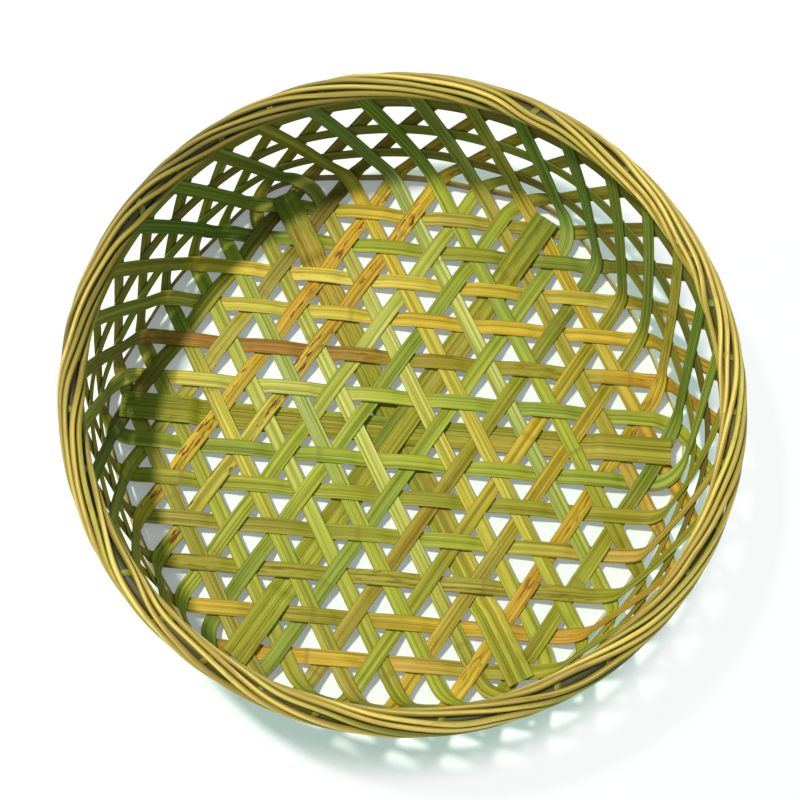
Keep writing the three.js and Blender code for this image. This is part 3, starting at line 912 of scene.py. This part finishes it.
# The lit side of the wall, painted paler as painted light: its azimuth, where it starts
# and how soon it is full by the cosine from there, how much of the wall's tint and
# painted shade it loses, how much paler it is
painted_light_side = math.radians(325)
painted_light_from, painted_light_span = 0.35, 0.5
painted_light_loss, painted_light_gain = 0.4, 0.3
rng = np.random.default_rng(7)
first_knot, knot_spacing = (20, 160), (150, 230)
knot_half = 1.6 * mm


def reading_shares(family, turn, lengths, reach):
    """Shares of the way, in the order in which a piece's colours are listed."""
    order = -math.sin(turn) if family == "across" else -math.cos(turn)
    return 0.5 + np.sign(order) * lengths / (2 * reach)


def strip_tint(strip, names, lengths, distance, points):
    shares = reading_shares(strip.family, strip.facing, lengths, strip.course.flat_length)
    tint = tint_along(names, np.clip(shares, 0, 1))
    # Up the wall the inner ends are greener and the outer ones browner, and both darker:
    # their own hue and painted shade of the wall. The front right, where the lamp falls on
    # the wall, gets the least of this and is painted paler there: painted light.
    up = smooth((distance - flat_radius) / tint_rise)[:, None]
    azimuth = np.arctan2(points[:, 1], points[:, 0])
    painted_light = smooth((np.cos(azimuth - painted_light_side) - painted_light_from) / painted_light_span)[:, None]
    ends = np.where(lengths[:, None] > 0, linear(palette["inner"]), linear(palette["outer"]))
    share = (wall_hue_and_shade_share - painted_light_loss * painted_light) * up
    tint[:, :3] = (tint[:, :3] * (1 - share) + ends * share) * (1 + painted_light_gain * painted_light * up)
    return tint


def strip_knots(lengths):
    knot = np.zeros(len(lengths))
    at = -lengths[-1] + rng.uniform(*first_knot) * mm
    while at < lengths[-1]:
        knot += np.exp(-(((lengths - at) / knot_half) ** 2))
        at += rng.uniform(*knot_spacing) * mm
    return knot


print("knots lie", knot_spacing, "mm apart")

# %% Build the strips
knot_swell = 0.03
split_squareness, split_sides = 0.72, 16


def marks(count, specks, lot):
    """Values that stay the same along a piece: its specks and its place in the noise."""
    return {"specks": np.full(count, float(specks)), "lot": np.full(count, lot)}


def random_lot():
    return rng.uniform(0, 50)


for strip in strips:
    names, specks = strip_looks[strip.family][place_of(strip.index) - 1]
    lengths, distance, points, values = strip_line(strip)
    knot = strip_knots(lengths)
    values.update(tint=strip_tint(strip, names, lengths, distance, points), knot=knot,
                  girth=1 + knot_swell * knot, **marks(len(lengths), specks, random_lot()))
    piece = swept(strip.name, points, values, strip_width, strip_thickness, split_squareness,
                  split_sides, finishes[strip.family])
    dress(piece, strip.node)
print("strips made:", len(strips))

# %% [markdown]
# ## The splints
#
# A thick, wide split stiffens the middle of each family, with a narrow one beside
# it. The pair runs under the mat, dips where all three pairs cross, and comes up
# through the weave near both ends. It is made by the same tree as the strips, with a
# thicker section. Only the lift along its way differs.

# %% Lift of the splints
splint_width = 8.85 * mm
splint_mate_width = 4.42 * mm
splint_thickness = 1 * mm
splint_split = 0.03 * mm
splint_tip = 3.5 * mm
splint_tip_rise = 1.1 * mm
strips_before_tuck = 4
splint_stack_margin = 2 * mm
splint_stack_rise = 16 * mm
crossing_angle = math.pi / 3
splints_above = {"across": 1, "left": 2, "right": 0}
pair_width = splint_width + splint_split + splint_mate_width


def tuck_stretch(family, side):
    half = strip_width / 2 / math.sin(crossing_angle)
    half += pair_width / 2 / math.tan(crossing_angle)
    past, before = [], []
    for name, normal in families.items():
        if name != family:
            slope = math.sin(normal - families[family])
            way = 1 if side * slope > 0 else -1
            past.append(abs(offset_of(name, way * strips_before_tuck) / slope))
            before.append(abs(offset_of(name, way * (strips_before_tuck + 1)) / slope))
    return max(past) + half, min(before) - half


def splint_lifts(family, side):
    on_mat = (strip_thickness + splint_thickness) / 2 + seat_gap
    under, over = -layer_step - on_mat, layer_step + on_mat
    stacked = under - splints_above[family] * (splint_thickness + seat_gap)
    stack_half = pair_width / 2 / math.sin(crossing_angle) + splint_stack_margin
    stack_half += pair_width / 2 / math.tan(crossing_angle)
    start, end = tuck_stretch(family, side)
    edge = flat_radius + corner_push(0)
    reach = [0, stack_half, stack_half + splint_stack_rise, start, end, edge, edge + splint_tip]
    lift = [stacked, stacked, under, under, over, over + splint_tip_rise / 3,
            over + splint_tip_rise]
    return reach, lift


print("width of a splint with its mate:", round(pair_width / mm, 2), "mm")

# %% Build the splints
splint_squareness = 0.75
splint_specks = 0.3
finishes["splint"] = bamboo_material("splint_bamboo", splint_width / 2, lines=0.9,
                                     drift=0.7, bump=0.45, gloss=0.15)
finishes["mate"] = bamboo_material("splint_mate_bamboo", splint_mate_width / 2, lines=0.8,
                                   drift=0.6, bump=0.45, gloss=0.15)


def splint_piece(family, name, node, offset, width, looks, finish):
    turn = families[family]
    forward = np.array([-math.sin(turn), math.cos(turn), 0])
    across = np.array([math.cos(turn), math.sin(turn), 0])
    reach = math.sqrt((flat_radius + corner_push(0) + splint_tip) ** 2 - offset**2)
    lengths = steps_along(reach)
    lift = np.zeros(len(lengths))
    for side in (-1, 1):
        mask = lengths * side >= 0
        lift[mask] = eased(*splint_lifts(family, side), np.abs(lengths[mask]))
    points = lengths[:, None] * forward + offset * across
    points[:, 2] = mat_height + lift
    travel = unit(np.gradient(points, axis=0))
    values = {
        "facing": np.cross(travel, np.cross([0, 0, 1], travel)),
        "tint": tint_along(looks, reading_shares(family, turn, lengths, reach)),
        **marks(len(lengths), splint_specks, random_lot()),
    }
    piece = swept(name, points, values, width, splint_thickness, splint_squareness,
                  split_sides, finish)
    dress(piece, node)


# The first moss of the across pair, at its left end, and of the left pair, at its far left end, is
# painted shade from the wall and rim there.
splint_tints_and_shade = {
    "across": ("moss olive khaki olive khaki khaki olive",
               "moss olive olive moss olive khaki olive"),
    "left": ("moss tan olive olive khaki straw fresh", "moss tan olive moss olive fresh olive"),
    "right": ("moss olive khaki olive olive fresh olive",
              "moss olive olive moss olive fresh olive"),
}
for family, (wide_look, mate_look) in splint_tints_and_shade.items():
    splint_piece(family, f"{family}_splint", f"splint_{family}", (pair_width - splint_width) / 2,
                 splint_width, wide_look, finishes["splint"])
    splint_piece(family, f"{family}_splint_mate", f"splint_{family}_mate",
                 (splint_mate_width - pair_width) / 2, splint_mate_width, mate_look,
                 finishes["mate"])
print("splints made:", 2 * len(splint_tints_and_shade))

# %% [markdown]
# ## The wall weavers
#
# Three thin bands run round the wall between the inner and outer strip ends. They
# are closed rings of the same split section, and waver a little in height, as
# hand-pressed bands do.

# %% Build the weavers
upper_weaver_height = 49 * mm
rim_weaver_width = 9 * mm
rim_weaver_drop = 1 * mm
rim_weaver_height = wall_top_height - rim_weaver_drop
rim_weaver_height -= rim_weaver_width / 2 * math.cos(wall_flare)
weaver_steps = 240
# Share of the waver, waves once round the wall, and where they start
waves = ((0.6, 3, 1), (0.4, 5, 2.2))
weaver_specks = 0.2
finishes["weaver"] = bamboo_material("weaver_bamboo", weaver_width / 2, lines=0.7, drift=0.7)


def weaver_piece(name, height, width, looks, waver):
    turn = np.arange(weaver_steps) / weaver_steps * 2 * math.pi
    wave = sum(share * np.sin(count * turn + start) for share, count, start in waves)
    distance = sheet_distance_at(height) + waver * wave
    values = {
        "facing": sheet_normal(distance, turn), "tint": tint_along(looks, turn / (2 * math.pi)),
        **marks(weaver_steps, weaver_specks, random_lot()),
    }
    piece = swept(name, sheet_point(distance, turn, 0 * turn), values, width, strip_thickness,
                  split_squareness, split_sides, finishes["weaver"], closed=True)
    dress(piece, name)


for weaver in (
    ("wall_weaver_lower", lower_weaver_height, weaver_width,
     "olive bark moss olive gold olive", 0.5 * mm),
    ("wall_weaver_upper", upper_weaver_height, weaver_width,
     "bark moss bark khaki olive bark", 0.6 * mm),
    ("rim_weaver", rim_weaver_height, rim_weaver_width,
     "moss bark moss olive moss moss", 0.3 * mm),
):
    weaver_piece(*weaver)
    print("weaver made:", weaver[0])

# %% [markdown]
# ## The rim
#
# Nine round splits are laid round the rim like the strands of a rope, four turns of
# the lay for once round the basket. Hand-laid strands bunch: some touch, and between
# others the dark filling shows. So each strand's turn is the even lay plus a share
# of the slack, which wanders round the rim but never lets two strands overlap.

# %% Build the rim strands
rim_strands = 9
strand_diameter = 2.4 * mm
rim_lay_radius = 4.8 * mm
rim_turns = 4
strand_squareness, strand_sides = 0.12, 10
touch_clearance = 1.03
bunching = 1.3
girth_wander = 0.05
strand_specks = 0.25
rim_radius = rim_lay_radius + strand_diameter / 2
rim_height = wall_top_height + seat_gap + layer_step * math.sin(wall_flare) + rim_radius
rim_middle_radius = float(sheet_profile(sheet_distance_at(rim_height))[0])
# The rim's dark edges are painted shade where the strands touch, with some dirt there.
finishes["rim"] = bamboo_material("rim_strand_bamboo", strand_diameter / 2, lines=0.9,
                                  drift=0.35, bump=0.5, coat=0.05, edges=(0, 0.9, 0.5))
strand_steps = 720
turn = np.arange(strand_steps) / strand_steps * 2 * math.pi


def wandering(count, most):
    """The sum of some waves, each with fewer than most of them once round the rim."""
    total = np.zeros(strand_steps)
    for _ in range(count):
        total += np.sin(rng.integers(2, most) * turn + rng.uniform(0, 2 * math.pi))
    return total / math.sqrt(count)


touching = 2 * math.asin(strand_diameter * touch_clearance / 2 / rim_lay_radius)
slack = 2 * math.pi - rim_strands * touching
pull = np.exp(bunching * np.stack([wandering(5, 16) for _ in range(rim_strands)]))
gaps = touching + slack * pull / pull.sum(0)
lays = np.concatenate([np.zeros((1, strand_steps)), np.cumsum(gaps, 0)[:-1]])
even = np.arange(rim_strands)[:, None] / rim_strands * 2 * math.pi
lays = even + (lays - even) - (lays - even).mean(0) - rim_turns * turn
# Each strand's names go round the rim from the right. They are darkest, umber and bark, towards
# the far left: painted shade where the rim turns away from the lamp, over the strands' own mix of
# cane, reed, straw and khaki.
strand_tints_and_shade = [
    "cane cane reed umber umber cane reed reed", "cane straw reed umber reed cane olive reed",
    "straw cane cane umber umber reed reed cane", "cane cane khaki umber umber cane cane reed",
    "reed cane reed khaki reed cane reed olive", "cane reed cane umber umber straw reed reed",
    "cane cane reed umber khaki cane khaki reed", "straw cane reed bark umber reed reed cane",
    "cane cane khaki umber reed cane reed khaki",
]
for number, (lay, looks) in enumerate(zip(lays, strand_tints_and_shade), 1):
    names = looks.split()
    values = {
        "facing": around(np.cos(lay), turn, np.sin(lay)),
        "tint": tint_along(" ".join(names + names[:1]), turn / (2 * math.pi)),
        **marks(strand_steps, strand_specks, random_lot()),
        "girth": 1 + girth_wander * wandering(4, 24),
    }
    node = f"rim_strand_{number:02d}"
    points = around(rim_middle_radius + rim_lay_radius * np.cos(lay), turn,
                    rim_height + rim_lay_radius * np.sin(lay))
    piece = swept(node, points, values, strand_diameter, strand_diameter, strand_squareness,
                  strand_sides, finishes["rim"], closed=True)
    dress(piece, node)
print("rim strands made:", rim_strands)

# %% [markdown]
# ## The rim's filling
#
# Inside the rope the strip ends are folded over and tucked in, so dark green and
# brown bits show between the strands. The filling is a lumpy ring, and a second
# Geometry Nodes tree lays a short folded end on it for every second strip end.

# %% Build the rim's filling
core_clearance = 0.4 * mm
core_radius = rim_lay_radius - strand_diameter / 2 - core_clearance
end_width, end_thickness = 3.2 * mm, 0.4 * mm
finishes["core"] = bamboo_material("tucked_end_bamboo", end_width / 2, lines=0.9, drift=0.9,
                                   bump=0.6)


def filling_tree():
    tree = bpy.data.node_groups.new("tucked strip ends", "GeometryNodeTree")
    made = Wiring(tree, [("Ring", "Geometry"), ("End", "Object"), ("Count", "Int"),
                         ("Radius", "Float"), ("Height", "Float"), ("Material", "Material")],
                  [("Filling", "Geometry")])
    add, calc = made.add, made.calc
    given, result = made.ends()
    circle = add("GeometryNodeMeshCircle", {
        "Vertices": given["Count"], "Radius": given["Radius"],
    })
    lifted = add("GeometryNodeSetPosition", {
        "Geometry": circle.outputs["Mesh"], "Offset": made.place(Z=given["Height"]),
    })
    share = calc("DIVIDE", add("GeometryNodeInputIndex").outputs[0], given["Count"])
    # For plain numbers this node has the least at input 2 and the most at input 3.
    size = add("FunctionNodeRandomValue", {2: 0.97, 3: 1.06, "Seed": 3}, data_type="FLOAT")
    ends = add("GeometryNodeInstanceOnPoints", {
        "Points": lifted.outputs["Geometry"],
        "Instance": add("GeometryNodeObjectInfo", {"Object": given["End"]}).outputs["Geometry"],
        "Rotation": made.place(Z=calc("MULTIPLY", share, 2 * math.pi)),
        "Scale": size.outputs[1],
    })
    join = add("GeometryNodeJoinGeometry", {0: given["Ring"]})
    made.feed(join.inputs[0], ends.outputs[0])
    end_shape(made, join.outputs[0], given, result)
    return tree


# The ring itself, swept like the other pieces
ring_turn = turn[::2]
ring_steps = len(ring_turn)
core_girth, core_lumps = 0.96, 0.02
core = swept("rim_core", around(rim_middle_radius, ring_turn, rim_height), {
    "facing": around(1, ring_turn, 0),
    "tint": tint_along("bark deep bark deep deep bark deep bark", ring_turn / (2 * math.pi)),
    **marks(ring_steps, specks=0, lot=0),
    "girth": core_girth + core_lumps * wandering(6, 40)[::2],
}, 2 * core_radius, 2 * core_radius, squareness=0.0, sides=12, finish=finishes["core"],
             closed=True)

# One tucked end: a flat bit that climbs over the filling on a slant
end_steps = 17
end_radius = core_radius + 0.15 * mm
end_run = 4.5 * mm
end_taper = 0.8
fold_from, fold_to = math.radians(-70), math.radians(250)
fold = np.linspace(fold_from, fold_to, end_steps)
end_points = np.stack([end_radius * np.cos(fold), np.linspace(-end_run, end_run, end_steps),
                       end_radius * np.sin(fold)], -1)
tucked_end = swept("tucked_end", end_points, {
    "facing": np.stack([np.cos(fold), 0 * fold, np.sin(fold)], -1),
    "tint": tint_along("deep bark moss deep", np.linspace(0, 1, end_steps)),
    **marks(end_steps, specks=0, lot=9), "girth": np.linspace(end_taper, 1.0, end_steps),
}, end_width, end_thickness, squareness=0.6, sides=8, finish=finishes["core"])
baked(core, filling_tree(), {
    "End": tucked_end, "Count": splint_ends * strips_each_side, "Radius": rim_middle_radius,
    "Height": rim_height, "Material": finishes["core"],
})
bpy.data.objects.remove(tucked_end)
dress(core, "rim_core")
print("filling faces:", len(core.data.polygons))

# %% [markdown]
# ## The foot hoop
#
# A thin lath runs round under the corner of the base and lifts the mat off the
# table. It leans out towards the floor, and its top edge is cut at a slant for the
# corner of the weave to rest on. The outline is turned round the middle in mesh
# code, since its section isn't a plain split: its corners are rounded first.

# %% Build the foot hoop
hoop_splay = math.radians(14)
hoop_seat_angle = math.radians(52)
hoop_seat_half = 0.9 * mm
hoop_edge_reach = 10 * mm
finishes["hoop"] = bamboo_material("hoop_bamboo", hoop_edge_reach, lines=0.4, drift=0.4,
                                   bump=0.5)


def hoop_outline():
    seat = corner_radius + layer_step + strip_thickness / 2 + seat_gap
    seat_radius = flat_radius + seat * math.sin(hoop_seat_angle)
    seat_height = mat_height + corner_radius - seat * math.cos(hoop_seat_angle)
    cut = hoop_seat_half * np.array([math.cos(hoop_seat_angle), math.sin(hoop_seat_angle)])
    seat_middle = np.array([seat_radius, seat_height])
    inner, outer = seat_middle - cut, seat_middle + cut
    splay = math.tan(hoop_splay)
    return np.array([
        (inner[0] + inner[1] * splay, 0), (outer[0] + outer[1] * splay, 0), outer, inner,
    ])


def softened(outline, reach):
    """The outline with each corner cut twice, no further than reach along its sides."""
    second_cut, most_of_side = 0.35, 0.4
    for reach in (reach, reach * second_cut):
        cut = []
        for i, corner in enumerate(outline):
            for other in (outline[i - 1], outline[(i + 1) % len(outline)]):
                side = other - corner
                length = np.linalg.norm(side)
                cut.append(corner + side / length * min(reach, length * most_of_side))
        outline = np.array(cut)
    return outline


def turned_ring(name, outline, steps, values):
    count = len(outline)
    angle = np.arange(steps) / steps * 2 * math.pi
    radius, height = outline.T
    reach = radius + corner_push(angle)[:, None]
    points = around(reach, angle[:, None], height).reshape(-1, 3)
    # Along the map lies the way round, across it the way over the section.
    round_way = np.arange(steps + 1) * 2 * math.pi / steps * radius[0]
    sides = np.linalg.norm(np.roll(outline, -1, axis=0) - outline, axis=1)
    over = np.concatenate([[0], np.cumsum(sides)])
    faces, maps = [], []
    for i in range(steps):
        here, onward = i * count, (i + 1) % steps * count
        for j in range(count):
            beside = (j + 1) % count
            faces.append((here + j, onward + j, onward + beside, here + beside))
            maps += [(round_way[i + a], over[j + b]) for a, b in ((0, 0), (1, 0), (1, 1), (0, 1))]
    mesh = bpy.data.meshes.new(name)
    mesh.from_pydata([tuple(p) for p in points], [], faces)
    layer = mesh.uv_layers.new(name="UVMap")
    layer.data.foreach_set("uv", np.array(maps, np.float32).ravel())
    store_values(mesh, {key: np.repeat(value, count, axis=0) for key, value in values.items()})
    mesh.polygons.foreach_set("use_smooth", [True] * len(mesh.polygons))
    return placed(name, mesh)


hoop_steps = 180
hoop_knots, hoop_knot_half = 4, 0.01
hoop_softening = 0.35 * mm
hoop_turn = np.arange(hoop_steps) / hoop_steps
# The tint is cream at the right, where the lamp lights the hoop, and bark at the far left, where
# it lies in shade: painted light and painted shade over its own tan.
hoop = turned_ring("foot_hoop", softened(hoop_outline(), hoop_softening), hoop_steps, {
    "tint": tint_along("cream tan bark tan cream cream", hoop_turn),
    "knot": np.exp(-(((hoop_turn * hoop_knots) % 1 - 0.5) / hoop_knot_half) ** 2),
    **marks(hoop_steps, specks=0.2, lot=5),
})
hoop.data.materials.append(finishes["hoop"])
dress(hoop, "foot_hoop")
print("hoop faces:", len(hoop.data.polygons))

# %% [markdown]
# ## The studio
#
# The photo has a white ground, a soft lamp far off to the upper left and little
# other light: the far left wall shades itself. The floor gives little light of its
# own under the basket, more outside and all of it far off, so a faint shadow stays
# near the basket only. The world is white where it is seen directly.

# %% Floor
matte_color = (0.92, 1.0, 0.98, 1)
# Between two distances from the middle the floor's own light goes from one share to
# the next: first out from under the basket, then into the distance.
near_glow = {"From Min": 150 * mm, "From Max": 170 * mm, "To Min": 0.22, "To Max": 0.9}
far_glow = {"From Min": 300 * mm, "From Max": 700 * mm, "To Min": 0, "To Max": 0.1}


def seen_directly(made):
    """1 for rays from the camera, and for what gloss and glass would show; 0 for light."""
    rays = made.add("ShaderNodeLightPath").outputs
    sharp = made.calc("MAXIMUM", rays["Is Camera Ray"], rays["Is Glossy Ray"])
    return made.calc("MAXIMUM", sharp, rays["Is Transmission Ray"])


def floor_material():
    material = bpy.data.materials.new("studio_floor")
    material.use_nodes = True
    material.node_tree.nodes.clear()
    made = Wiring(material.node_tree)
    here = made.add("ShaderNodeTexCoord").outputs["Object"]
    reach = made.add("ShaderNodeVectorMath", {0: here}, operation="LENGTH").outputs["Value"]
    near, far = (made.add("ShaderNodeMapRange", {"Value": reach, **glow},
                          interpolation_type="SMOOTHSTEP").outputs["Result"]
                 for glow in (near_glow, far_glow))
    share = made.calc("MULTIPLY", made.calc("ADD", near, far), seen_directly(made))
    mix = made.add("ShaderNodeMixShader", {
        0: share, 1: made.add("ShaderNodeBsdfDiffuse", {"Color": matte_color}).outputs[0],
        2: made.add("ShaderNodeEmission", {"Strength": 1}).outputs[0],
    })
    made.add("ShaderNodeOutputMaterial", {0: mix.outputs[0]})
    return material


floor_mesh = bpy.data.meshes.new("floor")
floor_half = 3.0
floor_mesh.from_pydata([(x * floor_half, y * floor_half, 0)
                        for x, y in ((-1, -1), (1, -1), (1, 1), (-1, 1))], [], [(0, 1, 2, 3)])
floor_mesh.materials.append(floor_material())
floor = placed("floor", floor_mesh)
print("floor width in metres:", 2 * floor_half)

# %% Lights
ambient_color, ambient_strength = (0.6, 1.0, 0.95, 1), 0.5
world = bpy.data.worlds.new("studio")
bpy.context.scene.world = world
world.use_nodes = True
made = Wiring(world.node_tree)
ambient = world.node_tree.nodes["Background"]
made.feed(ambient.inputs["Color"], ambient_color)
made.feed(ambient.inputs["Strength"], ambient_strength)
backdrop = made.add("ShaderNodeBackground", {"Color": (1, 1, 1, 1)})
seen = made.add("ShaderNodeMixShader", {
    0: seen_directly(made), 1: ambient.outputs[0], 2: backdrop.outputs[0],
})
made.feed(world.node_tree.nodes["World Output"].inputs["Surface"], seen.outputs[0])

lamp_way = Vector((-0.39, 0.14, 1.0)).normalized()
lamp_distance = 1.6
light = bpy.data.lights.new("key_lamp", "AREA")
light.shape, light.size, light.energy, light.color = "DISK", 0.12, 24, (1.0, 0.97, 0.88)
lamp = placed("key_lamp", light)
lamp.location = lamp_way * lamp_distance
lamp.rotation_euler = lamp_way.to_track_quat("Z", "Y").to_euler()
print("lamp power:", light.energy, "ambient strength:", ambient_strength)

# %% Camera
camera = bpy.data.cameras.new("camera")
camera.sensor_width, camera.sensor_fit, camera.lens = 36, "HORIZONTAL", 67.13
viewer = placed("camera", camera)
viewer.location = (-0.020496, -0.183475, 0.705663)
viewer.rotation_euler = Euler([math.radians(a) for a in (15.645, -2.950, 4.468)], "XYZ")
bpy.context.scene.camera = viewer
bpy.context.scene.view_settings.view_transform = "Standard"
print("camera lens in millimetres:", camera.lens)

# %% [markdown]
# ## Finish
#
